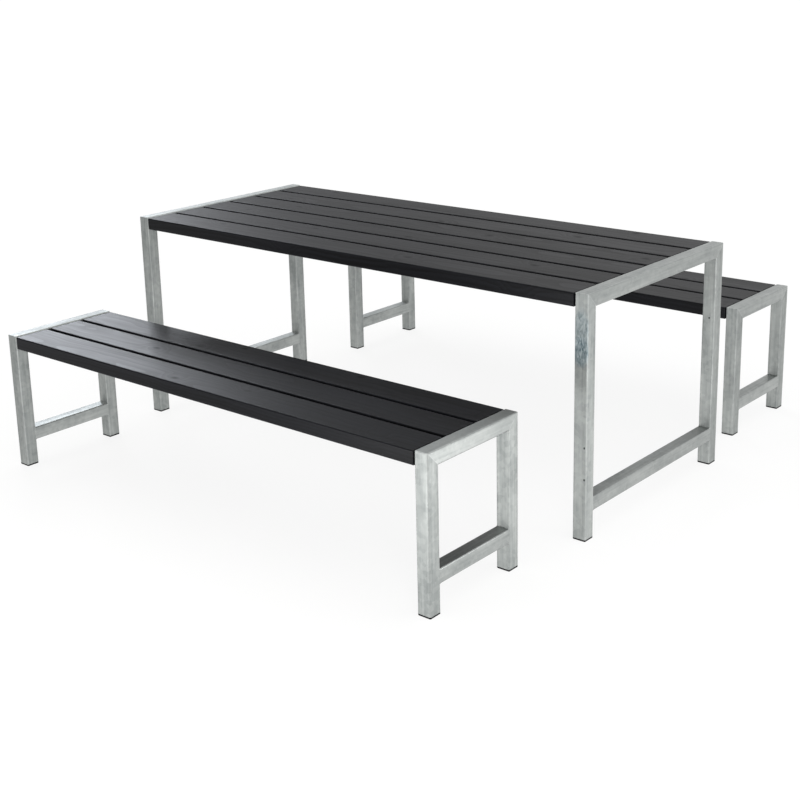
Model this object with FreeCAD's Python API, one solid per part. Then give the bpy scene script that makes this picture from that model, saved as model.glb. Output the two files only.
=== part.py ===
import FreeCAD, Part
import math
import os

# Garden table with two benches: black-stained planks on welded end frames of square steel tube.
# Millimetres. +X runs along the planks to the right, +Y to the back, +Z up.
# The origin is on the ground below the middle of the table.

# Overall sizes
TABLE_LENGTH = 1860.0           # over the end frames
TABLE_HEIGHT = 720.0            # ground to the top of the rails
TABLE_PLANKS = 6
BENCH_HEIGHT = 444.0
BENCH_PLANKS = 3
BENCH_STANDOFF = 237.0          # table edge to the near edge of a bench, as they stand
TUCK_CLEARANCE = 18.0           # at each end of a bench pushed in between the table's frames

# Planks
PLANK_WIDTH = 118.0
PLANK_THICKNESS = 40.0
PLANK_GAP = 12.0
PLANK_END_GAP = 4.0             # plank end to the rail's inner face
PLANK_EDGE_RADIUS = 4.0
PLANK_END_CHAMFER = 1.0

# Square tube of the end frames, cold-formed
TUBE_SIZE = 42.0
TUBE_WALL = 2.0
CORNER_IN_WALLS = 2.0           # outer corner radius as a number of walls
STRETCHER_HEIGHT = 82.0         # ground to the stretcher's underside
GROUND_CORNER_RADIUS = 2.0      # mitre weld ground round at the frame's top corners

# Flat bars under the planks
BEARER_LAP = 25.0               # welded under the top rail
BEARER_REACH = 35.0             # stands out under the plank ends
BEARER_THICKNESS = 5.0
TIE_WIDTH = 40.0
TIE_THICKNESS = 5.0
TIE_INSET = 30.0                # outer plank edge to the end of the tie bar

# Plastic foot caps
CAP_HEAD = 5.0
CAP_HEAD_CHAMFER = 0.8
CAP_PLUG_LENGTH = 20.0
CAP_PLUG_WALL = 2.0
CAP_PLUG_CLEARANCE = 1.5        # plug sleeve to the tube's bore
CAP_FINS = 3
CAP_FIN_THICKNESS = 1.2
CAP_FIN_CLEARANCE = 0.2         # fin tip to the tube's bore

# Hexagon-head plank screws, driven up through the flat bars
SCREW_DIAMETER = 6.0
SCREW_HEAD_WIDTH = 10.0         # across the flats
SCREW_HEAD_HEIGHT = 4.0
SCREW_POINT = 6.0
SCREW_COVER = 10.0              # wood left above the screw's point
SCREW_HOLE_CLEARANCE = 0.3      # round the shank in a flat bar
PILOT_CLEARANCE = 0.05          # round the shank in the wood

# Sizes that follow
TUBE_CORNER = CORNER_IN_WALLS * TUBE_WALL
TUBE_BORE = TUBE_SIZE - 2 * TUBE_WALL
BORE_CORNER = TUBE_CORNER - TUBE_WALL
PLANK_PITCH = PLANK_WIDTH + PLANK_GAP
BENCH_LENGTH = TABLE_LENGTH - 2 * (TUBE_SIZE + TUCK_CLEARANCE)
TABLE_DEPTH = TABLE_PLANKS * PLANK_PITCH - PLANK_GAP
BENCH_DEPTH = BENCH_PLANKS * PLANK_PITCH - PLANK_GAP
BENCH_CENTRE = (TABLE_DEPTH + BENCH_DEPTH) / 2 + BENCH_STANDOFF
SCREW_BITE = PLANK_THICKNESS - SCREW_COVER

X = FreeCAD.Vector(1, 0, 0)
Y = FreeCAD.Vector(0, 1, 0)
Z = FreeCAD.Vector(0, 0, 1)
HALF_RIGHT_ANGLE = math.pi / 4

SIDES = {"left": -1, "right": 1}
ROWS = {"front": -1, "back": 1}


def rounded_outline(centre, across, upward, width, height, radius):
    """Closed outline of a rectangle with rounded corners, in the plane of two unit vectors."""
    arcs = []
    for quarter, (side, level) in enumerate([(1, 1), (-1, 1), (-1, -1), (1, -1)]):
        middle = centre + across * (side * (width / 2 - radius)) + upward * (level * (height / 2 - radius))
        points = []
        for step in range(3):
            angle = (2 * quarter + step) * HALF_RIGHT_ANGLE
            points.append(middle + (across * math.cos(angle) + upward * math.sin(angle)) * radius)
        arcs.append(points)
    edges = []
    for here, after in zip(arcs, arcs[1:] + arcs[:1]):
        edges.append(Part.Arc(*here).toShape())
        edges.append(Part.makeLine(here[-1], after[0]))
    return Part.Wire(edges)


def hollow_section(outer, bore):
    """Flat face between two closed outlines, one inside the other."""
    return Part.makeFace([outer, bore], "Part::FaceMakerBullseye")


def square_tube(start, along, length, across, upward):
    """Hollow square tube from the middle of its start face, along a unit vector."""
    outer = rounded_outline(start, across, upward, TUBE_SIZE, TUBE_SIZE, TUBE_CORNER)
    bore = rounded_outline(start, across, upward, TUBE_BORE, TUBE_BORE, BORE_CORNER)
    return hollow_section(outer, bore).extrude(along * length)


def prism(outline_yz, x_centre):
    """Polygon of (y, z) points, extruded along X over a little more than one tube."""
    width = 2 * TUBE_SIZE
    points = [FreeCAD.Vector(x_centre - width / 2, y, z) for y, z in outline_yz]
    return Part.Face(Part.makePolygon(points + points[:1])).extrude(X * width)


def mitre_waste(x_centre, row, depth, height, of_leg):
    """Wedge on one side of the mitre between a leg and the top rail.

    The mitre runs from the frame's outer top corner down and in at 45 degrees.
    """
    run_out = TUBE_SIZE
    outer = row * depth / 2
    above = (outer + row * run_out, height + run_out)
    below = (outer - row * (TUBE_SIZE + run_out), height - TUBE_SIZE - run_out)
    corner = (below[0], above[1]) if of_leg else (above[0], below[1])
    return prism([above, below, corner], x_centre)


def corner_waste(x_centre, row, depth, height):
    """What grinding takes off the frame's outer top corner, along the whole width of the tube."""
    radius = GROUND_CORNER_RADIUS
    outer = row * depth / 2
    centre = FreeCAD.Vector(x_centre - TUBE_SIZE, outer - row * radius, height - radius)
    block = Part.makeBox(2 * TUBE_SIZE, 2 * radius, 2 * radius)
    block.translate(centre + Y * (0 if row > 0 else -2 * radius))
    return block.cut(Part.makeCylinder(radius, 2 * TUBE_SIZE, centre, X))


def leg(x_centre, row, depth, height):
    """Leg on its foot cap, mitred and ground at the top."""
    foot = FreeCAD.Vector(x_centre, row * (depth - TUBE_SIZE) / 2, CAP_HEAD)
    tube = square_tube(foot, Z, height - CAP_HEAD, X, Y)
    tube = tube.cut(mitre_waste(x_centre, row, depth, height, of_leg=True))
    return tube.cut(corner_waste(x_centre, row, depth, height))


def top_rail(x_centre, depth, height):
    """Rail across the top of an end frame, mitred to both legs."""
    start = FreeCAD.Vector(x_centre, -depth / 2, height - TUBE_SIZE / 2)
    tube = square_tube(start, Y, depth, Z, X)
    for row in ROWS.values():
        tube = tube.cut(mitre_waste(x_centre, row, depth, height, of_leg=False))
        tube = tube.cut(corner_waste(x_centre, row, depth, height))
    return tube


def stretcher(x_centre, depth):
    """Low rail, butted square between the two legs of an end frame."""
    start = FreeCAD.Vector(x_centre, -depth / 2 + TUBE_SIZE, STRETCHER_HEIGHT + TUBE_SIZE / 2)
    return square_tube(start, Y, depth - 2 * TUBE_SIZE, Z, X)


def flat_bar(low, high, screw_points):
    """Flat bar between two corners, drilled for screws from below."""
    size = high - low
    bar = Part.makeBox(size.x, size.y, size.z, low)
    hole_radius = SCREW_DIAMETER / 2 + SCREW_HOLE_CLEARANCE
    holes = [Part.makeCylinder(hole_radius, size.z, FreeCAD.Vector(p.x, p.y, low.z)) for p in screw_points]
    return bar.cut(holes)


def plank(y_centre, half_length, underside, screw_points):
    """Plank with eased edges, chamfered ends and a pilot hole for each of its screws."""
    start = FreeCAD.Vector(-half_length, y_centre, underside + PLANK_THICKNESS / 2)
    outline = rounded_outline(start, Y, Z, PLANK_WIDTH, PLANK_THICKNESS, PLANK_EDGE_RADIUS)
    board = Part.Face(outline).extrude(X * (2 * half_length))
    ends = [face for face in board.Faces if abs(face.normalAt(0, 0).x) > math.cos(HALF_RIGHT_ANGLE)]
    board = board.makeChamfer(PLANK_END_CHAMFER, [edge for face in ends for edge in face.Edges])
    radius = SCREW_DIAMETER / 2 + PILOT_CLEARANCE
    return board.cut([Part.makeCylinder(radius, SCREW_BITE + PILOT_CLEARANCE, p) for p in screw_points])


def foot_cap(x_centre, y_centre):
    """Moulded cap: a flat head under the tube and a finned sleeve inside its bore."""
    def outline(size, radius, level):
        return rounded_outline(FreeCAD.Vector(x_centre, y_centre, level), X, Y, size, size, radius)

    def block(size, level, height):
        corner = FreeCAD.Vector(x_centre - size / 2, y_centre - size / 2, level)
        return Part.makeBox(size, size, height, corner)

    head = Part.Face(outline(TUBE_SIZE, TUBE_CORNER, 0)).extrude(Z * CAP_HEAD)
    base_edges = [edge for edge in head.Edges if edge.BoundBox.ZMax < CAP_HEAD / 2]
    head = head.makeChamfer(CAP_HEAD_CHAMFER, base_edges)
    sleeve_size = TUBE_BORE - 2 * CAP_PLUG_CLEARANCE
    fin_size = TUBE_BORE - 2 * CAP_FIN_CLEARANCE
    fin_pitch = CAP_PLUG_LENGTH / CAP_FINS
    plug = [block(sleeve_size, CAP_HEAD, CAP_PLUG_LENGTH)]
    for fin in range(1, CAP_FINS + 1):
        level = CAP_HEAD + fin * fin_pitch - CAP_FIN_THICKNESS
        plug.append(Part.Face(outline(fin_size, BORE_CORNER, level)).extrude(Z * CAP_FIN_THICKNESS))
    hollow = block(sleeve_size - 2 * CAP_PLUG_WALL, CAP_HEAD, CAP_PLUG_LENGTH)
    return head.fuse(plug).cut(hollow).removeSplitter()


def plank_screw(seat, bar_thickness):
    """Hexagon-head screw whose head bears up against the underside of a flat bar."""
    radius = SCREW_DIAMETER / 2
    corner_radius = SCREW_HEAD_WIDTH / (2 * math.cos(math.pi / 6))
    stem_length = bar_thickness + SCREW_BITE - SCREW_POINT
    hexagon = []
    for corner in range(6):
        angle = corner * math.pi / 3
        hexagon.append(FreeCAD.Vector(math.cos(angle), math.sin(angle), 0) * corner_radius)
    head = Part.Face(Part.makePolygon(hexagon + hexagon[:1])).extrude(Z * -SCREW_HEAD_HEIGHT)
    stem = Part.makeCylinder(radius, stem_length)
    point = Part.makeCone(radius, 0, SCREW_POINT, Z * stem_length)
    screw = head.fuse([stem, point])
    screw.translate(seat)
    return screw


def shared_span(centre, low, high):
    """Middle and length of the stretch that a plank shares with a bar running from low to high."""
    start = max(centre - PLANK_WIDTH / 2, low)
    end = min(centre + PLANK_WIDTH / 2, high)
    return (start + end) / 2, end - start


def furniture(name, length, height, plank_count, centre_y):
    """All pieces of one table or bench by node name, standing with its middle at centre_y."""
    depth = plank_count * PLANK_PITCH - PLANK_GAP
    inner = length / 2 - TUBE_SIZE
    underside = height - TUBE_SIZE
    nodes = {}
    screws = []
    caps = []
    plank_centres = [(index - (plank_count - 1) / 2) * PLANK_PITCH for index in range(plank_count)]
    plank_holes = [[] for _ in plank_centres]

    def bar_with_screws(low, high, x_screw, per_plank):
        """Flat bar up against the planks, with its row of screws in every plank."""
        row = []
        for centre, holes in zip(plank_centres, plank_holes):
            middle, span = shared_span(centre, low.y, high.y)
            for index in range(per_plank):
                y = middle + span * ((index + 0.5) / per_plank - 0.5)
                holes.append(FreeCAD.Vector(x_screw, y, high.z))
                row.append(FreeCAD.Vector(x_screw, y, low.z))
        screws.extend(plank_screw(seat, high.z - low.z) for seat in row)
        return flat_bar(low, high, row)

    for side_name, side in SIDES.items():
        x_centre = side * (length - TUBE_SIZE) / 2
        end = f"{name}_{side_name}"
        for row_name, row in ROWS.items():
            nodes[f"{end}_{row_name}_leg"] = leg(x_centre, row, depth, height)
            caps.append(foot_cap(x_centre, row * (depth - TUBE_SIZE) / 2))
        nodes[f"{end}_top_rail"] = top_rail(x_centre, depth, height)
        nodes[f"{end}_stretcher"] = stretcher(x_centre, depth)
        x_edges = sorted([side * (inner - BEARER_REACH), side * (inner + BEARER_LAP)])
        y_end = depth / 2 - TUBE_SIZE
        low = FreeCAD.Vector(x_edges[0], -y_end, underside - BEARER_THICKNESS)
        high = FreeCAD.Vector(x_edges[1], y_end, underside)
        x_screw = side * (inner - (BEARER_REACH + PLANK_END_GAP) / 2)
        nodes[f"{end}_plank_bearer"] = bar_with_screws(low, high, x_screw, per_plank=2)

    tie_end = depth / 2 - TIE_INSET
    low = FreeCAD.Vector(-TIE_WIDTH / 2, -tie_end, underside - TIE_THICKNESS)
    high = FreeCAD.Vector(TIE_WIDTH / 2, tie_end, underside)
    nodes[f"{name}_middle_tie_bar"] = bar_with_screws(low, high, 0, per_plank=1)

    for number, (centre, holes) in enumerate(zip(plank_centres, plank_holes), start=1):
        nodes[f"{name}_plank_{number}"] = plank(centre, inner - PLANK_END_GAP, underside, holes)
    nodes[f"{name}_foot_caps"] = Part.makeCompound(caps)
    nodes[f"{name}_plank_screws"] = Part.makeCompound(screws)
    return {node: shape.translated(Y * centre_y) for node, shape in nodes.items()}


pieces = furniture("table", TABLE_LENGTH, TABLE_HEIGHT, TABLE_PLANKS, 0)
pieces.update(furniture("front_bench", BENCH_LENGTH, BENCH_HEIGHT, BENCH_PLANKS, -BENCH_CENTRE))
pieces.update(furniture("rear_bench", BENCH_LENGTH, BENCH_HEIGHT, BENCH_PLANKS, BENCH_CENTRE))

os.makedirs("parts", exist_ok=True)
for node, shape in pieces.items():
    shape.exportStep(f"parts/{node}.step")
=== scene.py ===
"""Garden table and bench set: finishes, welds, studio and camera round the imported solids.

Every solid of the set stays where the frame puts it and gets the finish of its real material.
The weld beads and zinc drops of the dipped end frames are added here as meshes.
Metres throughout: +X runs along the planks to the right, +Y to the back, +Z up.
"""

from __future__ import annotations

import logging
import math
from collections.abc import Iterable, Mapping
from dataclasses import dataclass, field
from enum import Enum

import bmesh
import bpy
from mathutils import Matrix, Vector

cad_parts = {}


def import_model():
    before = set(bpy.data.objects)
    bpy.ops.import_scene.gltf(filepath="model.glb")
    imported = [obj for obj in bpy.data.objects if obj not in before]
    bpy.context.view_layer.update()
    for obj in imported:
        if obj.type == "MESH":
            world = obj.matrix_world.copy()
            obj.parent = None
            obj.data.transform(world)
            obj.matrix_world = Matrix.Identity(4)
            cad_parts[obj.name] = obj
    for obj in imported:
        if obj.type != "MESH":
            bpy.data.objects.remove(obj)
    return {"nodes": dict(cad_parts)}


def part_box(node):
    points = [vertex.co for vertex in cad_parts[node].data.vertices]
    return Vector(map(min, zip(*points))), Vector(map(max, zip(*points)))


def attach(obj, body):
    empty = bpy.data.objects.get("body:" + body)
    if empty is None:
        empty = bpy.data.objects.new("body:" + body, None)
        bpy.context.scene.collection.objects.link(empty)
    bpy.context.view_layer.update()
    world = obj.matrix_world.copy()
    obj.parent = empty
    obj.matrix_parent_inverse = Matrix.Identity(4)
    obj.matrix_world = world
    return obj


LOG = logging.getLogger("garden_set")
MM = 0.001
WHITE = (1.0, 1.0, 1.0, 1.0)

Colour = tuple[float, float, float, float]
Triple = tuple[float, float, float]
Span = tuple[float, float]
Solids = Mapping[str, bpy.types.Object]


class Slot(Enum):
    """Material slots of the part's record."""

    STEEL = "galvanised_steel"
    WOOD = "black_stained_wood"
    PLASTIC = "black_plastic"
    ZINC = "zinc_plated_steel"


class Side(Enum):
    """The two ends of a piece of furniture."""

    LEFT = "left"
    RIGHT = "right"

    @property
    def outward(self) -> int:
        """Sign of X that points away from the furniture's middle."""
        return 1 if self is Side.RIGHT else -1


class Run(Enum):
    """The way a bar's length runs, which is also the way its streaks run."""

    UPRIGHT = "upright"
    ACROSS = "across"

    def stretched(self, share: float) -> Triple:
        """Pattern scale on the three axes, with the bar's own axis cut to a share."""
        return (1.0, 1.0, share) if self is Run.UPRIGHT else (1.0, share, 1.0)


def linear(code: str) -> Colour:
    """Turn an sRGB hex colour into linear light.

    Args:
        code: Colour as #rrggbb.

    Returns:
        Linear red, green, blue and an alpha of one.
    """
    shares = [int(code[i : i + 2], 16) / 255 for i in (1, 3, 5)]
    light = [s / 12.92 if s <= 0.04045 else ((s + 0.055) / 1.055) ** 2.4 for s in shares]
    return (light[0], light[1], light[2], 1.0)


def per_metre(size_mm: float) -> float:
    """Texture scale at which one feature of a pattern is about this many millimetres wide."""
    return 1000.0 / size_mm


def add_node(
    tree: bpy.types.NodeTree,
    kind: str,
    feeds: Mapping[str | int, object] | None = None,
    **settings: object,
) -> bpy.types.Node:
    """Add one shader node with its settings and links.

    Args:
        tree: The node tree that gets the node.
        kind: Blender's name for the kind of node, without its ShaderNode prefix.
        feeds: For each input, by name or number: a value, a socket, or a node whose first
            output counts.
        settings: The node's own properties.

    Returns:
        The new node.
    """
    node = tree.nodes.new("ShaderNode" + kind)
    for name, value in settings.items():
        setattr(node, name, value)
    for key, feed in (feeds or {}).items():
        usable = [s for s in node.inputs if s.enabled]
        socket = usable[key] if isinstance(key, int) else next(s for s in usable if s.name == key)
        if isinstance(feed, bpy.types.Node):
            feed = next(s for s in feed.outputs if s.enabled)
        if isinstance(feed, bpy.types.NodeSocket):
            tree.links.new(feed, socket)
        else:
            socket.default_value = feed
    return node


def new_material(name: str) -> tuple[bpy.types.Material, bpy.types.NodeTree]:
    """Start a material.

    Args:
        name: The material's name.

    Returns:
        The material and its empty node tree.
    """
    material = bpy.data.materials.new(name)
    material.use_nodes = True
    material.node_tree.nodes.clear()
    return material, material.node_tree


def dress(node: bpy.types.Object, material: bpy.types.Material) -> None:
    """Give a solid of the frame its finish.

    Args:
        node: The solid's object.
        material: The finish for every material slot of it.
    """
    for place in node.material_slots:
        place.material = material
    LOG.info("%s: %s", node.name, material.name)


@dataclass(frozen=True)
class MitreCorner:
    """Where the top corners of one piece of furniture's end frames are."""

    centre_y: float
    half_depth: float
    height: float


@dataclass(frozen=True)
class Tarnish:
    """A discoloured spot in the zinc, bluish with pale flecks."""

    centre: Triple
    reach: Triple
    strength: float


@dataclass(frozen=True)
class GalvanisedSteel:
    """Hot-dip galvanised steel tube, dipped after welding.

    The zinc is a dull light grey with a cool cast. It clouds over a hand's breadth, runs in
    streaks along the bar where it drained, and has a faint crystal pattern. Where it is paler
    it is also glossier, between matt and satin. The ground mitre seams are paler still.
    """

    name: str
    run: Run
    corner: MitreCorner
    tarnish: tuple[Tarnish, ...] = ()
    dull: str = "#909493"
    bright: str = "#b1b4b2"
    seam: str = "#c6c9c8"
    blotch: str = "#526870"
    fleck: str = "#b2bcbf"
    matt: float = 0.72
    satin: float = 0.56
    drift: Triple = (0.0, 0.0, 0.0)
    cloud_mm: float = 55.0
    cloud_stretch: float = 0.35
    cloud_weight: float = 0.58
    streak_mm: float = 7.0
    streak_stretch: float = 0.03
    streak_weight: float = 0.4
    crystal_mm: float = 12.0
    crystal_weight: float = 0.1
    colour_span: Span = (0.36, 0.7)
    gloss_span: Span = (0.3, 0.8)
    relief_mm: float = 0.4
    relief_strength: float = 0.06
    tube_mm: float = 42.0
    seam_mm: float = 1.2
    seam_core: float = 0.3
    seam_strength: float = 0.5
    spot_core: float = 0.65
    fleck_mm: float = 6.0
    fleck_stretch: float = 0.35
    fleck_span: Span = (0.36, 0.64)

    def material(self) -> bpy.types.Material:
        """Build the finish.

        Returns:
            The new material.
        """
        material, tree = new_material(self.name)
        place = add_node(tree, "TexCoord").outputs["Object"]
        drawn = add_node(
            tree,
            "Mapping",
            {
                "Vector": place,
                "Scale": self.run.stretched(self.cloud_stretch),
                "Location": self.drift,
            },
        )
        clouds = add_node(
            tree,
            "TexNoise",
            {"Vector": drawn, "Scale": per_metre(self.cloud_mm), "Detail": 4.0, "Roughness": 0.6},
        )
        drained = add_node(
            tree, "Mapping", {"Vector": place, "Scale": self.run.stretched(self.streak_stretch)}
        )
        streaks = add_node(
            tree, "TexNoise", {"Vector": drained, "Scale": per_metre(self.streak_mm), "Detail": 3.0}
        )
        crystals = add_node(
            tree, "TexVoronoi", {"Vector": place, "Scale": per_metre(self.crystal_mm)}
        )
        facets = add_node(tree, "SeparateColor", {"Color": crystals.outputs["Color"]})
        tone: bpy.types.Node | float = 0.0
        for pattern, weight in (
            (clouds, self.cloud_weight),
            (streaks, self.streak_weight),
            (facets, self.crystal_weight),
        ):
            tone = add_node(
                tree, "Math", {0: pattern, 1: weight, 2: tone}, operation="MULTIPLY_ADD"
            )
        pale = add_node(
            tree,
            "MapRange",
            {"Value": tone, "From Min": self.colour_span[0], "From Max": self.colour_span[1]},
        )
        zinc = add_node(
            tree,
            "Mix",
            {"Factor": pale, "A": linear(self.dull), "B": linear(self.bright)},
            data_type="RGBA",
        )
        zinc = add_node(
            tree,
            "Mix",
            {"Factor": self.seam_mask(tree, place), "A": zinc, "B": linear(self.seam)},
            data_type="RGBA",
        )
        for spot in self.tarnish:
            mask, flecks = self.tarnish_mask(tree, place, spot)
            stain = add_node(
                tree,
                "Mix",
                {"Factor": flecks, "A": linear(self.blotch), "B": linear(self.fleck)},
                data_type="RGBA",
            )
            zinc = add_node(tree, "Mix", {"Factor": mask, "A": zinc, "B": stain}, data_type="RGBA")
        rough = add_node(
            tree,
            "MapRange",
            {
                "Value": tone,
                "From Min": self.gloss_span[0],
                "From Max": self.gloss_span[1],
                "To Min": self.matt,
                "To Max": self.satin,
            },
        )
        bump = add_node(
            tree,
            "Bump",
            {"Height": streaks, "Strength": self.relief_strength, "Distance": self.relief_mm * MM},
        )
        shader = add_node(
            tree,
            "BsdfPrincipled",
            {"Base Color": zinc, "Metallic": 1.0, "Roughness": rough, "Normal": bump},
        )
        add_node(tree, "OutputMaterial", {"Surface": shader})
        return material

    def seam_mask(
        self, tree: bpy.types.NodeTree, place: bpy.types.NodeSocket
    ) -> bpy.types.Node:
        """Find the ground mitre seams at the frame's top corners.

        Args:
            tree: The material's node tree.
            place: Object coordinates.

        Returns:
            A node whose value is the seam's strength on a seam and zero elsewhere.
        """
        axes = add_node(tree, "SeparateXYZ", {"Vector": place})
        offset = add_node(
            tree, "Math", {0: axes.outputs["Y"], 1: self.corner.centre_y}, operation="SUBTRACT"
        )
        offset = add_node(tree, "Math", {0: offset}, operation="ABSOLUTE")
        inward = add_node(
            tree, "Math", {0: self.corner.half_depth, 1: offset}, operation="SUBTRACT"
        )
        down = add_node(
            tree, "Math", {0: self.corner.height, 1: axes.outputs["Z"]}, operation="SUBTRACT"
        )
        away = add_node(tree, "Math", {0: inward, 1: down}, operation="SUBTRACT")
        away = add_node(tree, "Math", {0: away}, operation="ABSOLUTE")
        line = add_node(
            tree,
            "MapRange",
            {
                "Value": away,
                "From Min": self.seam_core * self.seam_mm * MM,
                "From Max": self.seam_mm * MM,
                "To Min": self.seam_strength,
                "To Max": 0.0,
            },
        )
        near = add_node(tree, "Math", {0: down, 1: self.tube_mm * MM}, operation="LESS_THAN")
        return add_node(tree, "Math", {0: line, 1: near}, operation="MULTIPLY")

    def tarnish_mask(
        self, tree: bpy.types.NodeTree, place: bpy.types.NodeSocket, spot: Tarnish
    ) -> tuple[bpy.types.Node, bpy.types.Node]:
        """Find one tarnished spot and the pale flecks in it.

        Args:
            tree: The material's node tree.
            place: Object coordinates.
            spot: Where the spot is and how far it reaches.

        Returns:
            Two nodes: one whose value is the spot's strength inside it and zero outside, one
            whose value is one on a fleck.
        """
        shares = tuple(1.0 / r for r in spot.reach)
        shift = tuple(-c / r for c, r in zip(spot.centre, spot.reach))
        local = add_node(tree, "Mapping", {"Vector": place, "Scale": shares, "Location": shift})
        distance = add_node(tree, "VectorMath", {0: local}, operation="LENGTH").outputs["Value"]
        inside = add_node(
            tree,
            "MapRange",
            {
                "Value": distance,
                "From Min": self.spot_core,
                "From Max": 1.0,
                "To Min": spot.strength,
                "To Max": 0.0,
            },
        )
        drained = add_node(
            tree, "Mapping", {"Vector": place, "Scale": self.run.stretched(self.fleck_stretch)}
        )
        flecks = add_node(
            tree,
            "TexNoise",
            {
                "Vector": drained,
                "Scale": per_metre(self.fleck_mm),
                "Detail": 4.0,
                "Distortion": 1.0,
            },
        )
        flecks = add_node(
            tree,
            "MapRange",
            {"Value": flecks, "From Min": self.fleck_span[0], "From Max": self.fleck_span[1]},
        )
        return inside, flecks


@dataclass(frozen=True)
class StainedSoftwood:
    """Black-stained planed softwood.

    The stain is thin: growth rings and knots show through as slightly different blacks, and the
    planed faces shine softly at a low angle, the knots less than the rest. Rings and fibres are
    drawn about three times as coarse as in the real wood, because a picture of the whole set
    can't show them finer. The low specular level keeps the stain black under the pale ceiling.

    plank is the size of a mean plank, and plank_apart sets each plank's pattern apart from the
    others'. knot_span and swirl_span count in knot sizes, from a knot's heart outwards.
    """

    name: str = "black-stained planed softwood"
    deep: str = "#050506"
    thin: str = "#16171b"
    knot: str = "#030304"
    matt: float = 0.43
    satin: float = 0.32
    knot_matt: float = 0.5
    ior: float = 1.5
    specular_level: float = 0.1
    plank: Triple = (1.7, 0.118, 0.04)
    plank_apart: float = 60.0
    ring_mm: float = 10.0
    ring_weight: float = 0.3
    ring_bend_mm: float = 420.0
    ring_bend_stretch: Triple = (1.0, 2.0, 2.0)
    ring_bend_reach: float = 0.045
    pith_spread: Triple = (0.0, 0.1, 0.04)
    pith_depth: float = 0.055
    fibre_mm: float = 9.0
    fibre_stretch: Triple = (0.012, 1.0, 1.0)
    fibre_weight: float = 0.5
    patch_mm: float = 110.0
    patch_stretch: Triple = (0.25, 1.0, 1.0)
    patch_weight: float = 0.6
    colour_span: Span = (0.42, 0.95)
    gloss_span: Span = (0.3, 1.0)
    relief_mm: float = 0.4
    relief_strength: float = 0.06
    knot_mm: float = 11.0
    knot_pitch: Triple = (0.5, 0.16, 1.0)
    knot_stretch: Triple = (0.6, 1.0, 0.0)
    knot_span: Span = (0.2, 1.1)
    swirl_span: Span = (0.4, 4.5)
    swirl_reach: float = 0.02
    face_span: Span = (0.7, 0.93)

    def material(self) -> bpy.types.Material:
        """Build the finish.

        Returns:
            The new material.
        """
        material, tree = new_material(self.name)
        share = add_node(tree, "TexCoord").outputs["Generated"]
        middle = tuple(-0.5 * size for size in self.plank)
        place = add_node(
            tree, "Mapping", {"Vector": share, "Scale": self.plank, "Location": middle}
        )
        luck = add_node(tree, "ObjectInfo").outputs["Random"]
        luck = add_node(tree, "TexWhiteNoise", {"W": luck}, noise_dimensions="1D").outputs["Color"]
        luck = add_node(tree, "VectorMath", {0: luck, 1: (0.5,) * 3}, operation="SUBTRACT")
        own = add_node(
            tree,
            "VectorMath",
            {0: luck, 1: (self.plank_apart,) * 3, 2: place},
            operation="MULTIPLY_ADD",
        )
        knots = self.knot_distance(tree, own)
        rings = self.ring_phase(tree, place, luck, own, knots)
        lengthwise = add_node(tree, "Mapping", {"Vector": own, "Scale": self.fibre_stretch})
        fibres = add_node(
            tree,
            "TexNoise",
            {"Vector": lengthwise, "Scale": per_metre(self.fibre_mm), "Detail": 2.0},
        )
        uneven = add_node(tree, "Mapping", {"Vector": own, "Scale": self.patch_stretch})
        patches = add_node(
            tree, "TexNoise", {"Vector": uneven, "Scale": per_metre(self.patch_mm), "Detail": 4.0}
        )
        tone: bpy.types.Node | float = 0.0
        for pattern, weight in (
            (rings, self.ring_weight),
            (fibres, self.fibre_weight),
            (patches, self.patch_weight),
        ):
            tone = add_node(
                tree, "Math", {0: pattern, 1: weight, 2: tone}, operation="MULTIPLY_ADD"
            )
        spread = add_node(
            tree,
            "MapRange",
            {"Value": tone, "From Min": self.colour_span[0], "From Max": self.colour_span[1]},
        )
        stain = add_node(
            tree,
            "Mix",
            {"Factor": spread, "A": linear(self.deep), "B": linear(self.thin)},
            data_type="RGBA",
        )
        heart = add_node(
            tree,
            "MapRange",
            {
                "Value": knots,
                "From Min": self.knot_span[0] * self.knot_mm * MM,
                "From Max": self.knot_span[1] * self.knot_mm * MM,
                "To Min": 1.0,
                "To Max": 0.0,
            },
        )
        heart = add_node(
            tree, "Math", {0: heart, 1: self.inner_face(tree, place)}, operation="MULTIPLY"
        )
        stain = add_node(
            tree, "Mix", {"Factor": heart, "A": stain, "B": linear(self.knot)}, data_type="RGBA"
        )
        rough = add_node(
            tree,
            "MapRange",
            {
                "Value": tone,
                "From Min": self.gloss_span[0],
                "From Max": self.gloss_span[1],
                "To Min": self.matt,
                "To Max": self.satin,
            },
        )
        rough = add_node(tree, "Mix", {"Factor": heart, "A": rough, "B": self.knot_matt})
        bump = add_node(
            tree,
            "Bump",
            {"Height": fibres, "Strength": self.relief_strength, "Distance": self.relief_mm * MM},
        )
        shader = add_node(
            tree,
            "BsdfPrincipled",
            {
                "Base Color": stain,
                "Metallic": 0.0,
                "Roughness": rough,
                "IOR": self.ior,
                "Specular IOR Level": self.specular_level,
                "Normal": bump,
            },
        )
        add_node(tree, "OutputMaterial", {"Surface": shader})
        return material

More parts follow.
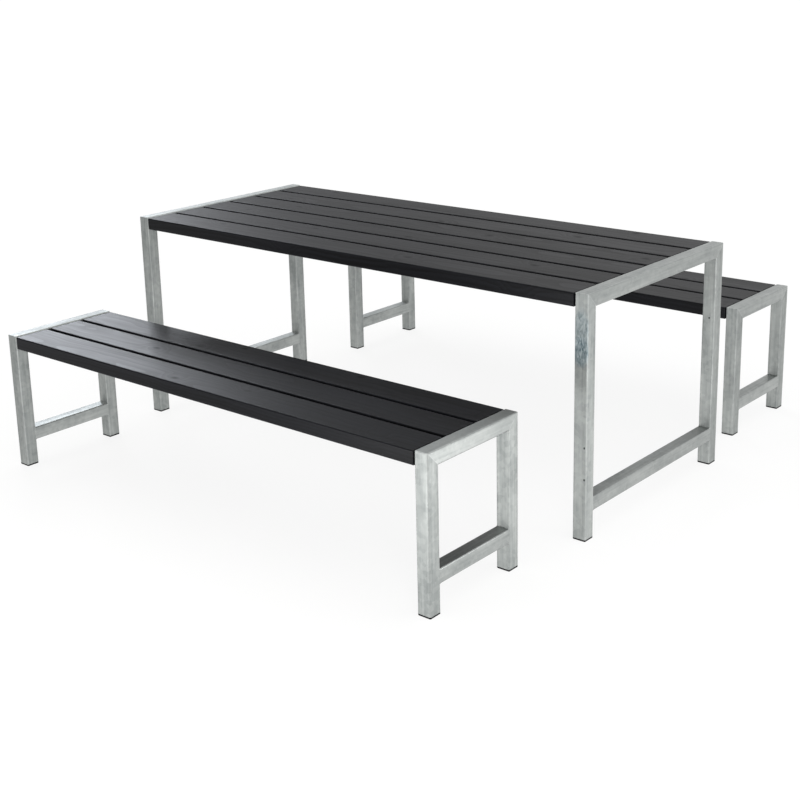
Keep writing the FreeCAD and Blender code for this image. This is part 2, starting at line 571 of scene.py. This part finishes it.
    def ring_phase(
        self,
        tree: bpy.types.NodeTree,
        place: bpy.types.Node,
        luck: bpy.types.Node,
        own: bpy.types.Node,
        knots: bpy.types.NodeSocket,
    ) -> bpy.types.Node:
        """Find where in a growth ring a point is.

        Args:
            tree: The material's node tree.
            place: Metres from the plank's middle.
            luck: Three chance numbers of the plank.
            own: The place, moved far away for each plank.
            knots: Distance to the nearest knot.

        Returns:
            A node whose value rises from zero to one through each ring.
        """
        pith = add_node(
            tree,
            "VectorMath",
            {0: luck, 1: self.pith_spread, 2: (0.0, 0.0, -self.pith_depth)},
            operation="MULTIPLY_ADD",
        )
        away = add_node(tree, "VectorMath", {0: place, 1: pith}, operation="SUBTRACT")
        away = add_node(tree, "VectorMath", {0: away, 1: (0.0, 1.0, 1.0)}, operation="MULTIPLY")
        radius = add_node(tree, "VectorMath", {0: away}, operation="LENGTH").outputs["Value"]
        bend = add_node(tree, "Mapping", {"Vector": own, "Scale": self.ring_bend_stretch})
        bend = add_node(
            tree, "TexNoise", {"Vector": bend, "Scale": per_metre(self.ring_bend_mm), "Detail": 3.0}
        )
        radius = add_node(
            tree, "Math", {0: bend, 1: self.ring_bend_reach, 2: radius}, operation="MULTIPLY_ADD"
        )
        swirl = add_node(
            tree,
            "MapRange",
            {
                "Value": knots,
                "From Min": self.swirl_span[0] * self.knot_mm * MM,
                "From Max": self.swirl_span[1] * self.knot_mm * MM,
                "To Min": self.swirl_reach,
                "To Max": 0.0,
            },
            interpolation_type="SMOOTHERSTEP",
        )
        radius = add_node(tree, "Math", {0: radius, 1: swirl}, operation="ADD")
        rings = add_node(tree, "Math", {0: radius, 1: self.ring_mm * MM}, operation="DIVIDE")
        return add_node(tree, "Math", {0: rings}, operation="FRACT")

    def inner_face(self, tree: bpy.types.NodeTree, place: bpy.types.Node) -> bpy.types.Node:
        """Find the broad faces away from the plank's edges, where its knots lie.

        Args:
            tree: The material's node tree.
            place: Metres from the plank's middle.

        Returns:
            A node whose value is one there and zero at the edges.
        """
        across = add_node(tree, "SeparateXYZ", {"Vector": place}).outputs["Y"]
        across = add_node(tree, "Math", {0: across}, operation="ABSOLUTE")
        half = 0.5 * self.plank[1]
        return add_node(
            tree,
            "MapRange",
            {
                "Value": across,
                "From Min": self.face_span[0] * half,
                "From Max": self.face_span[1] * half,
                "To Min": 1.0,
                "To Max": 0.0,
            },
        )

    def knot_distance(
        self, tree: bpy.types.NodeTree, own: bpy.types.Node
    ) -> bpy.types.NodeSocket:
        """Measure how far a point is from the nearest knot.

        Args:
            tree: The material's node tree.
            own: Place on the plank, moved far away for each plank.

        Returns:
            The distance in metres.
        """
        cells = add_node(tree, "VectorMath", {0: own, 1: self.knot_pitch}, operation="DIVIDE")
        nearest = add_node(
            tree, "TexVoronoi", {"Vector": cells, "Scale": 1.0}, voronoi_dimensions="2D"
        )
        heart = add_node(
            tree,
            "VectorMath",
            {0: nearest.outputs["Position"], 1: self.knot_pitch},
            operation="MULTIPLY",
        )
        away = add_node(tree, "VectorMath", {0: own, 1: heart}, operation="SUBTRACT")
        flat = add_node(tree, "VectorMath", {0: away, 1: self.knot_stretch}, operation="MULTIPLY")
        return add_node(tree, "VectorMath", {0: flat}, operation="LENGTH").outputs["Value"]


@dataclass(frozen=True)
class MouldedPolyethylene:
    """Moulded black polyethylene: a waxy black, scuffed, with a fine eroded mould texture.

    The mould's grain is drawn several times as coarse as the real one, which wouldn't show.
    """

    name: str = "moulded black polyethylene"
    low: str = "#050506"
    high: str = "#0d0d0e"
    satin: float = 0.42
    matt: float = 0.62
    ior: float = 1.51
    specular_level: float = 0.1
    scuff_mm: float = 14.0
    grain_mm: float = 1.2
    grain_depth_mm: float = 0.2
    grain_strength: float = 0.2

    def material(self) -> bpy.types.Material:
        """Build the finish.

        Returns:
            The new material.
        """
        material, tree = new_material(self.name)
        place = add_node(tree, "TexCoord").outputs["Object"]
        grain = add_node(
            tree, "TexNoise", {"Vector": place, "Scale": per_metre(self.grain_mm), "Detail": 2.0}
        )
        scuffs = add_node(
            tree, "TexNoise", {"Vector": place, "Scale": per_metre(self.scuff_mm), "Detail": 4.0}
        )
        black = add_node(
            tree,
            "Mix",
            {"Factor": scuffs, "A": linear(self.low), "B": linear(self.high)},
            data_type="RGBA",
        )
        rough = add_node(
            tree, "MapRange", {"Value": scuffs, "To Min": self.satin, "To Max": self.matt}
        )
        bump = add_node(
            tree,
            "Bump",
            {
                "Height": grain,
                "Strength": self.grain_strength,
                "Distance": self.grain_depth_mm * MM,
            },
        )
        shader = add_node(
            tree,
            "BsdfPrincipled",
            {
                "Base Color": black,
                "Metallic": 0.0,
                "Roughness": rough,
                "IOR": self.ior,
                "Specular IOR Level": self.specular_level,
                "Normal": bump,
            },
        )
        add_node(tree, "OutputMaterial", {"Surface": shader})
        return material


@dataclass(frozen=True)
class ZincPlatedSteel:
    """Zinc-plated steel: bright, faintly blue, with fine marks from the driver.

    The marks are drawn coarser than real ones, which wouldn't show.
    """

    name: str = "zinc-plated steel"
    grey: str = "#aeb5ba"
    white: str = "#d5dade"
    polished: float = 0.24
    satin: float = 0.42
    mark_mm: float = 1.5

    def material(self) -> bpy.types.Material:
        """Build the finish.

        Returns:
            The new material.
        """
        material, tree = new_material(self.name)
        place = add_node(tree, "TexCoord").outputs["Object"]
        marks = add_node(
            tree, "TexNoise", {"Vector": place, "Scale": per_metre(self.mark_mm), "Detail": 3.0}
        )
        zinc = add_node(
            tree,
            "Mix",
            {"Factor": marks, "A": linear(self.grey), "B": linear(self.white)},
            data_type="RGBA",
        )
        rough = add_node(
            tree, "MapRange", {"Value": marks, "To Min": self.polished, "To Max": self.satin}
        )
        shader = add_node(
            tree, "BsdfPrincipled", {"Base Color": zinc, "Metallic": 1.0, "Roughness": rough}
        )
        add_node(tree, "OutputMaterial", {"Surface": shader})
        return material


@dataclass(frozen=True)
class WeldBead:
    """A hand-laid weld bead: a round bar of metal with the ripple of each melt pool."""

    radius: float = 2.6 * MM
    ripple_pitch: float = 3.2 * MM
    ripple_depth: float = 0.1
    stations_per_ripple: int = 4
    fewest_stations: int = 4
    segments: int = 10
    blunt_tip: float = 0.05

    def lay(
        self,
        mesh: bmesh.types.BMesh,
        path: list[Vector],
        across: Vector,
        closed: bool,
        reach_x: Span,
    ) -> None:
        """Lay a bead along a path.

        Args:
            mesh: The mesh that gets the bead.
            path: Points of the bead's middle line.
            across: A direction that is square to the whole path.
            closed: Whether the path ends where it starts.
            reach_x: Lowest and highest X that grinding leaves of the bead.
        """
        rings: list[list[bmesh.types.BMVert]] = []
        for point, tangent, travelled, left in self.stations(path, closed):
            ripple = 1 + self.ripple_depth * math.cos(2 * math.pi * travelled / self.ripple_pitch)
            to_tip = math.inf if closed else min(travelled, left) / self.radius
            end = min(1.0, to_tip + self.blunt_tip)
            radius = self.radius * ripple * math.sqrt(1 - (1 - end) ** 2)
            upward = tangent.cross(across)
            ring = []
            for k in range(self.segments):
                angle = 2 * math.pi * k / self.segments
                spot = point + (across * math.cos(angle) + upward * math.sin(angle)) * radius
                spot.x = min(max(spot.x, reach_x[0]), reach_x[1])
                ring.append(mesh.verts.new(spot))
            rings.append(ring)
        following = rings[1:] + rings[:1] if closed else rings[1:]
        for here, after in zip(rings, following):
            for k in range(self.segments):
                n = (k + 1) % self.segments
                mesh.faces.new((here[k], here[n], after[n], after[k])).smooth = True
        if not closed:
            mesh.faces.new(rings[0][::-1])
            mesh.faces.new(rings[-1])

    def stations(
        self, path: list[Vector], closed: bool
    ) -> list[tuple[Vector, Vector, float, float]]:
        """Divide a path into even steps.

        Args:
            path: Points of the path.
            closed: Whether it ends where it starts.

        Returns:
            For each step: its point, its direction, and the lengths behind and ahead of it.
        """
        points = path + path[:1] if closed else path
        lengths = [(b - a).length for a, b in zip(points, points[1:])]
        total = sum(lengths)
        wanted = round(total / self.ripple_pitch * self.stations_per_ripple)
        count = max(self.fewest_stations, wanted)
        steps = []
        for k in range(count if closed else count + 1):
            travelled = total * k / count
            rest = travelled
            index = 0
            while index < len(lengths) - 1 and rest > lengths[index]:
                rest -= lengths[index]
                index += 1
            tangent = (points[index + 1] - points[index]).normalized()
            steps.append((points[index] + tangent * rest, tangent, travelled, total - travelled))
        return steps


@dataclass(frozen=True)
class ZincDrop:
    """A dark pimple of zinc dross that set on a face as the frame drained."""

    spot: Triple
    size: Triple = (2.6 * MM, 1.4 * MM, 3.4 * MM)


@dataclass
class EndFrame:
    """One welded end frame: two legs, top rail, stretcher and plank bearer."""

    body: str
    side: Side
    bead: WeldBead = field(default_factory=WeldBead)
    drops: tuple[ZincDrop, ...] = ()
    tube_corner: float = 4.0 * MM
    ring_sunk: float = 1.5 * MM
    fillet_offset: float = 0.3 * MM
    flush: float = 0.03 * MM
    stitch_length: float = 26.0 * MM
    stitches: int = 3
    corner_steps: int = 6
    drop_rounding: int = 3

    def node(self, piece: str) -> str:
        """Name of one of the frame's solids."""
        return f"{self.body}_{self.side.value}_{piece}"

    def dress(
        self, nodes: Solids, upright: bpy.types.Material, across: bpy.types.Material
    ) -> None:
        """Give the frame's solids their galvanised finish.

        Args:
            nodes: All solids by name.
            upright: The finish with streaks that run up and down.
            across: The finish with streaks that run from front to back.
        """
        for piece in ("front_leg", "back_leg"):
            dress(nodes[self.node(piece)], upright)
        for piece in ("top_rail", "stretcher", "plank_bearer"):
            dress(nodes[self.node(piece)], across)

    def stretcher_ring(self, low: Vector, high: Vector, y: float) -> list[Vector]:
        """Run round the end of the stretcher where it butts against a leg.

        Args:
            low: The stretcher's lowest corner.
            high: The stretcher's highest corner.
            y: Where its end face is.

        Returns:
            Points of the closed path.
        """
        radius = self.tube_corner - self.ring_sunk
        left, right = low.x + self.tube_corner, high.x - self.tube_corner
        bottom, top = low.z + self.tube_corner, high.z - self.tube_corner
        middles = ((right, top), (left, top), (left, bottom), (right, bottom))
        path = []
        for quarter, (x, z) in enumerate(middles):
            for step in range(self.corner_steps + 1):
                angle = (quarter + step / self.corner_steps) * math.pi / 2
                path.append(Vector((x + radius * math.cos(angle), y, z + radius * math.sin(angle))))
        return path

    def build_welds(self, material: bpy.types.Material) -> bpy.types.Object:
        """Build the beads that hold the frame together.

        Args:
            material: The zinc that covers them.

        Returns:
            The new object.
        """
        low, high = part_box(self.node("stretcher"))
        rail_low, rail_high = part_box(self.node("top_rail"))
        bar_low, bar_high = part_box(self.node("plank_bearer"))
        reach = (low.x - self.flush, high.x + self.flush)
        outward = self.side.outward
        bar_edge = bar_high.x if outward > 0 else bar_low.x
        rail_face = rail_high.x if outward > 0 else rail_low.x
        fillet_z = rail_low.z - self.fillet_offset
        along_x, along_y = Vector((1, 0, 0)), Vector((0, 1, 0))
        mesh = bmesh.new()
        for y, inward in ((low.y, 1), (high.y, -1)):
            self.bead.lay(mesh, self.stretcher_ring(low, high, y), along_y, True, reach)
            ends = sorted((bar_edge, rail_face - outward * self.tube_corner))
            run = [Vector((x, y + inward * self.fillet_offset, fillet_z)) for x in ends]
            self.bead.lay(mesh, run, along_y, False, reach)
        for k in range(self.stitches):
            middle = bar_low.y + (bar_high.y - bar_low.y) * (k + 0.5) / self.stitches
            ends = [middle - self.stitch_length / 2, middle + self.stitch_length / 2]
            run = [Vector((bar_edge + outward * self.fillet_offset, y, fillet_z)) for y in ends]
            self.bead.lay(mesh, run, along_x, False, reach)
        return self.place(mesh, "welds", material)

    def build_drops(self, material: bpy.types.Material) -> bpy.types.Object:
        """Build the zinc pimples that show on the frame's faces.

        Args:
            material: The zinc that they are made of.

        Returns:
            The new object.
        """
        mesh = bmesh.new()
        for drop in self.drops:
            shape = Matrix.Translation(drop.spot) @ Matrix.Diagonal((*drop.size, 1.0))
            bmesh.ops.create_icosphere(
                mesh, subdivisions=self.drop_rounding, radius=1.0, matrix=shape
            )
        for face in mesh.faces:
            face.smooth = True
        return self.place(mesh, "zinc_drops", material)

    def place(
        self, mesh: bmesh.types.BMesh, piece: str, material: bpy.types.Material
    ) -> bpy.types.Object:
        """Turn a finished mesh into a piece that rides with the furniture.

        Args:
            mesh: The mesh, which is used up.
            piece: What the piece is.
            material: Its finish.

        Returns:
            The new object.
        """
        bmesh.ops.recalc_face_normals(mesh, faces=mesh.faces)
        data = bpy.data.meshes.new(self.node(piece))
        mesh.to_mesh(data)
        mesh.free()
        data.materials.append(material)
        made = bpy.data.objects.new(data.name, data)
        bpy.context.scene.collection.objects.link(made)
        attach(made, self.body)
        LOG.info("%s: %s", made.name, material.name)
        return made


@dataclass
class PlankDeck:
    """The planks of one piece of furniture, with the tie bar and screws under them."""

    body: str
    planks: int

    def dress(
        self,
        nodes: Solids,
        wood: bpy.types.Material,
        steel: bpy.types.Material,
        zinc: bpy.types.Material,
    ) -> None:
        """Give the deck's solids their finishes.

        Args:
            nodes: All solids by name.
            wood: The planks' stained wood.
            steel: The tie bar's galvanised steel.
            zinc: The screws' plating.
        """
        for number in range(1, self.planks + 1):
            dress(nodes[f"{self.body}_plank_{number}"], wood)
        dress(nodes[f"{self.body}_middle_tie_bar"], steel)
        dress(nodes[f"{self.body}_plank_screws"], zinc)


@dataclass
class Feet:
    """The plastic foot caps of one piece of furniture."""

    body: str

    def dress(self, nodes: Solids, plastic: bpy.types.Material) -> None:
        """Give the caps their moulded plastic."""
        dress(nodes[f"{self.body}_foot_caps"], plastic)


@dataclass
class Furniture:
    """A table or bench: two end frames, a deck of planks and its feet.

    Each end frame came out of the zinc bath with a gloss of its own, so rail_gloss gives the
    matt and satin roughness of its rails. drift shifts the clouds in the zinc of the legs.
    """

    body: str
    planks: int
    tarnish: tuple[Tarnish, ...] = ()
    drift: Triple = (0.0, 0.0, 0.0)
    drops: Mapping[Side, tuple[ZincDrop, ...]] = field(default_factory=dict)
    drop_dull: str = "#303333"
    drop_bright: str = "#4c4f4f"
    rail_gloss: Mapping[Side, Span] = field(
        default_factory=lambda: {Side.LEFT: (0.62, 0.48), Side.RIGHT: (0.44, 0.35)}
    )

    def corner(self) -> MitreCorner:
        """Work out where the end frames' top corners are.

        Returns:
            The corner that all four share by symmetry.
        """
        low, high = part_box(f"{self.body}_left_top_rail")
        return MitreCorner((low.y + high.y) / 2, (high.y - low.y) / 2, high.z)

    def build(
        self,
        nodes: Solids,
        wood: bpy.types.Material,
        plastic: bpy.types.Material,
        zinc: bpy.types.Material,
    ) -> None:
        """Dress the solids and add the welds and zinc drops.

        Args:
            nodes: All solids by name.
            wood: The planks' finish.
            plastic: The foot caps' finish.
            zinc: The screws' finish.
        """
        words = self.body.replace("_", " ")
        steel = f"hot-dip galvanised steel, {words}"
        corner = self.corner()
        upright = GalvanisedSteel(
            f"{steel} uprights", Run.UPRIGHT, corner, self.tarnish, drift=self.drift
        ).material()
        across = {
            side: GalvanisedSteel(
                f"{steel} {side.value} rails", Run.ACROSS, corner, matt=matt, satin=satin
            ).material()
            for side, (matt, satin) in self.rail_gloss.items()
        }
        dross = GalvanisedSteel(
            f"zinc dross, {words}",
            Run.UPRIGHT,
            corner,
            dull=self.drop_dull,
            bright=self.drop_bright,
        )
        for side in Side:
            frame = EndFrame(self.body, side, drops=self.drops.get(side, ()))
            frame.dress(nodes, upright, across[side])
            frame.build_welds(across[side])
            if frame.drops:
                frame.build_drops(dross.material())
        PlankDeck(self.body, self.planks).dress(nodes, wood, across[Side.LEFT], zinc)
        Feet(self.body).dress(nodes, plastic)


@dataclass(frozen=True)
class Softbox:
    """A large soft lamp, or a window that lights like one."""

    name: str
    place: Triple
    aim: Triple
    size: Span
    watts: float
    colour: str = "#ffffff"

    def build(self) -> bpy.types.Object:
        """Hang the lamp.

        Returns:
            The lamp's object.
        """
        data = bpy.data.lights.new(self.name, "AREA")
        data.shape = "RECTANGLE"
        data.size, data.size_y = self.size
        data.energy = self.watts
        data.color = linear(self.colour)[:3]
        lamp = bpy.data.objects.new(self.name, data)
        lamp.location = self.place
        ahead = Vector(self.aim) - Vector(self.place)
        lamp.rotation_euler = ahead.to_track_quat("-Z", "Y").to_euler()
        lamp.visible_camera = False
        bpy.context.scene.collection.objects.link(lamp)
        LOG.info("%s: lamp", self.name)
        return lamp


@dataclass
class Studio:
    """Pale floor, soft light and the photograph's camera.

    The walls are pale behind the set and to its right, and dark on the left, where a far window
    gives the planks their sheen. wall_levels are pairs: degrees to the left of straight back,
    and how bright the wall is there. The white of the floor runs up into a cove, higher behind
    the set than in front of it. floor_line and the cove's and ceiling's heights are those of
    the view's direction, from 0 at the horizon to 1 overhead. floor_gap keeps the floor just
    clear of the feet.
    """

    floor_radius: float = 130.0
    floor_sides: int = 96
    floor_gap: float = 0.1 * MM
    floor_colour: str = "#f4f4f2"
    floor_glow: float = 0.85
    floor_line: float = 0.02
    cove_depth: Span = (-0.2, 0.2)
    cove_height: Span = (0.1, 0.32)
    front_level: float = 0.2
    wall_levels: tuple[Span, ...] = (
        (-120.0, 0.6),
        (-40.0, 0.8),
        (0.0, 0.9),
        (27.0, 0.66),
        (33.0, 0.62),
        (39.0, 0.25),
        (46.0, 0.13),
        (60.0, 0.08),
        (100.0, 0.1),
        (150.0, 0.1),
    )
    ceiling_height: Span = (0.4, 0.85)
    ceiling_level: float = 1.45
    softboxes: tuple[Softbox, ...] = (
        Softbox("front_softbox", (0.2, -2.2, 0.16), (0.9, -0.8, 0.2), (0.7, 0.3), 10.0),
        Softbox("right_softbox", (2.1, -0.2, 0.16), (0.9, -0.9, 0.2), (0.6, 0.3), 6.2),
        Softbox("camera_side_softbox", (3.6, -3.6, 1.5), (0.4, -0.4, 0.4), (1.4, 1.4), 80.0),
        Softbox("window", (-32.4, 17.8, 15.3), (0.0, 0.0, 0.4), (11.4, 8.7), 4120.0, "#f2f7ff"),
    )
    camera_place: Triple = (2.84483, -3.39835, 1.6642)
    camera_azimuth: float = 40.524
    camera_elevation: float = 14.999
    camera_roll: float = -1.327
    camera_reach: float = 520.0
    focal_pixels: float = 1369.59
    picture_pixels: float = 800.0
    principal_row: float = 300.0
    sensor_mm: float = 36.0

    def build(self) -> None:
        """Set up floor, world, lamps and camera."""
        self.build_floor()
        self.build_world()
        for softbox in self.softboxes:
            softbox.build()
        self.build_camera()
        bpy.context.scene.view_settings.view_transform = "Standard"

    def build_floor(self) -> bpy.types.Object:
        """Lay a round floor that is pale from above and open from below.

        Returns:
            The floor's object.
        """
        mesh = bmesh.new()
        bmesh.ops.create_circle(
            mesh, cap_ends=True, segments=self.floor_sides, radius=self.floor_radius
        )
        data = bpy.data.meshes.new("floor")
        mesh.to_mesh(data)
        mesh.free()
        data.materials.append(self.floor_material())
        floor = bpy.data.objects.new("floor", data)
        floor.location.z = -self.floor_gap
        bpy.context.scene.collection.objects.link(floor)
        LOG.info("floor: %s", data.materials[0].name)
        return floor

    def floor_material(self) -> bpy.types.Material:
        """Build the floor's matt white paper, which looks white to the camera and in the steel.

        Returns:
            The new material.
        """
        material, tree = new_material("white studio paper")
        path = add_node(tree, "LightPath").outputs
        seen = add_node(
            tree,
            "Math",
            {0: path["Is Camera Ray"], 1: path["Is Glossy Ray"]},
            operation="MAXIMUM",
        )
        seen = add_node(
            tree, "Math", {0: seen, 1: path["Is Transmission Ray"]}, operation="MAXIMUM"
        )
        share = add_node(tree, "Math", {0: seen, 1: self.floor_glow}, operation="MULTIPLY")
        paper = add_node(tree, "BsdfDiffuse", {"Color": linear(self.floor_colour)})
        white = add_node(tree, "Emission", {"Color": WHITE, "Strength": 1.0})
        top = add_node(tree, "MixShader", {0: share, 1: paper, 2: white})
        below = add_node(tree, "NewGeometry").outputs["Backfacing"]
        clear = add_node(tree, "BsdfTransparent")
        both = add_node(tree, "MixShader", {0: below, 1: top, 2: clear})
        add_node(tree, "OutputMaterial", {"Surface": both})
        return material

    def build_world(self) -> bpy.types.World:
        """Surround the set with a studio: a white cove, its walls and a pale ceiling.

        Returns:
            The new world.
        """
        world = bpy.data.worlds.new("studio")
        world.use_nodes = True
        tree = world.node_tree
        tree.nodes.clear()
        view = add_node(tree, "TexCoord").outputs["Generated"]
        axes = add_node(tree, "SeparateXYZ", {"Vector": view}).outputs
        leftward = add_node(tree, "Math", {0: axes["X"], 1: -1.0}, operation="MULTIPLY")
        turn = add_node(tree, "Math", {0: leftward, 1: axes["Y"]}, operation="ARCTAN2")
        share = add_node(
            tree, "MapRange", {"Value": turn, "From Min": -math.pi, "From Max": math.pi}
        )
        walls = add_node(tree, "ValToRGB", {"Fac": share})
        stops = walls.color_ramp.elements
        for stop in stops:
            stop.color = (self.front_level, self.front_level, self.front_level, 1.0)
        for degrees, level in self.wall_levels:
            stops.new((degrees + 180.0) / 360.0).color = (level, level, level, 1.0)
        cove = add_node(
            tree,
            "MapRange",
            {
                "Value": axes["Y"],
                "From Min": self.cove_depth[0],
                "From Max": self.cove_depth[1],
                "To Min": self.cove_height[0],
                "To Max": self.cove_height[1],
            },
        )
        low = add_node(
            tree,
            "MapRange",
            {
                "Value": axes["Z"],
                "From Min": self.floor_line,
                "From Max": cove,
                "To Min": 1.0,
                "To Max": walls,
            },
        )
        light = add_node(
            tree,
            "MapRange",
            {
                "Value": axes["Z"],
                "From Min": self.ceiling_height[0],
                "From Max": self.ceiling_height[1],
                "To Min": low,
                "To Max": self.ceiling_level,
            },
        )
        backdrop = add_node(tree, "Background", {"Color": WHITE, "Strength": light})
        add_node(tree, "OutputWorld", {"Surface": backdrop})
        bpy.context.scene.world = world
        return world

    def build_camera(self) -> bpy.types.Object:
        """Put the camera where the photograph was taken from.

        Returns:
            The camera's object.
        """
        data = bpy.data.cameras.new("camera")
        data.sensor_width = self.sensor_mm
        data.lens = self.focal_pixels / self.picture_pixels * self.sensor_mm
        data.shift_y = self.principal_row / self.picture_pixels - 0.5
        data.clip_end = self.camera_reach
        azimuth = math.radians(self.camera_azimuth)
        elevation = math.radians(self.camera_elevation)
        roll = math.radians(self.camera_roll)
        level = Vector((math.cos(azimuth), math.sin(azimuth), 0.0))
        forward = Vector((-math.sin(azimuth), math.cos(azimuth), 0.0))
        ahead = forward * math.cos(elevation) - Vector((0.0, 0.0, math.sin(elevation)))
        upward = level.cross(ahead)
        right = level * math.cos(roll) + upward * math.sin(roll)
        top = upward * math.cos(roll) - level * math.sin(roll)
        turned = Matrix((right, top, -ahead)).transposed().to_4x4()
        camera = bpy.data.objects.new("camera", data)
        camera.matrix_world = Matrix.Translation(self.camera_place) @ turned
        bpy.context.scene.collection.objects.link(camera)
        bpy.context.scene.camera = camera
        return camera


def main() -> None:
    """Load the frame, build and dress each piece of furniture, and set up the studio."""
    logging.basicConfig(level=logging.INFO, format="%(message)s")
    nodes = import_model()["nodes"]
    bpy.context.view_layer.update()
    wood = StainedSoftwood().material()
    plastic = MouldedPolyethylene().material()
    zinc = ZincPlatedSteel().material()
    table = Furniture(
        "table",
        planks=6,
        drift=(0.0, 0.0, 0.31),
        tarnish=(
            Tarnish(centre=(0.909, -0.384, 0.615), reach=(0.03, 0.012, 0.07), strength=0.55),
            Tarnish(centre=(0.909, -0.384, 0.555), reach=(0.03, 0.012, 0.05), strength=0.8),
        ),
        drops={
            Side.RIGHT: (
                ZincDrop(spot=(0.924, -0.384, 0.28)),
                ZincDrop(spot=(0.925, -0.384, 0.186)),
                ZincDrop(spot=(0.912, 0.342, 0.485)),
            )
        },
    )
    front_bench = Furniture("front_bench", planks=3)
    rear_bench = Furniture("rear_bench", planks=3)
    for furniture in (table, front_bench, rear_bench):
        furniture.build(nodes, wood, plastic, zinc)
    Studio().build()


if __name__ == "__main__":
    main()
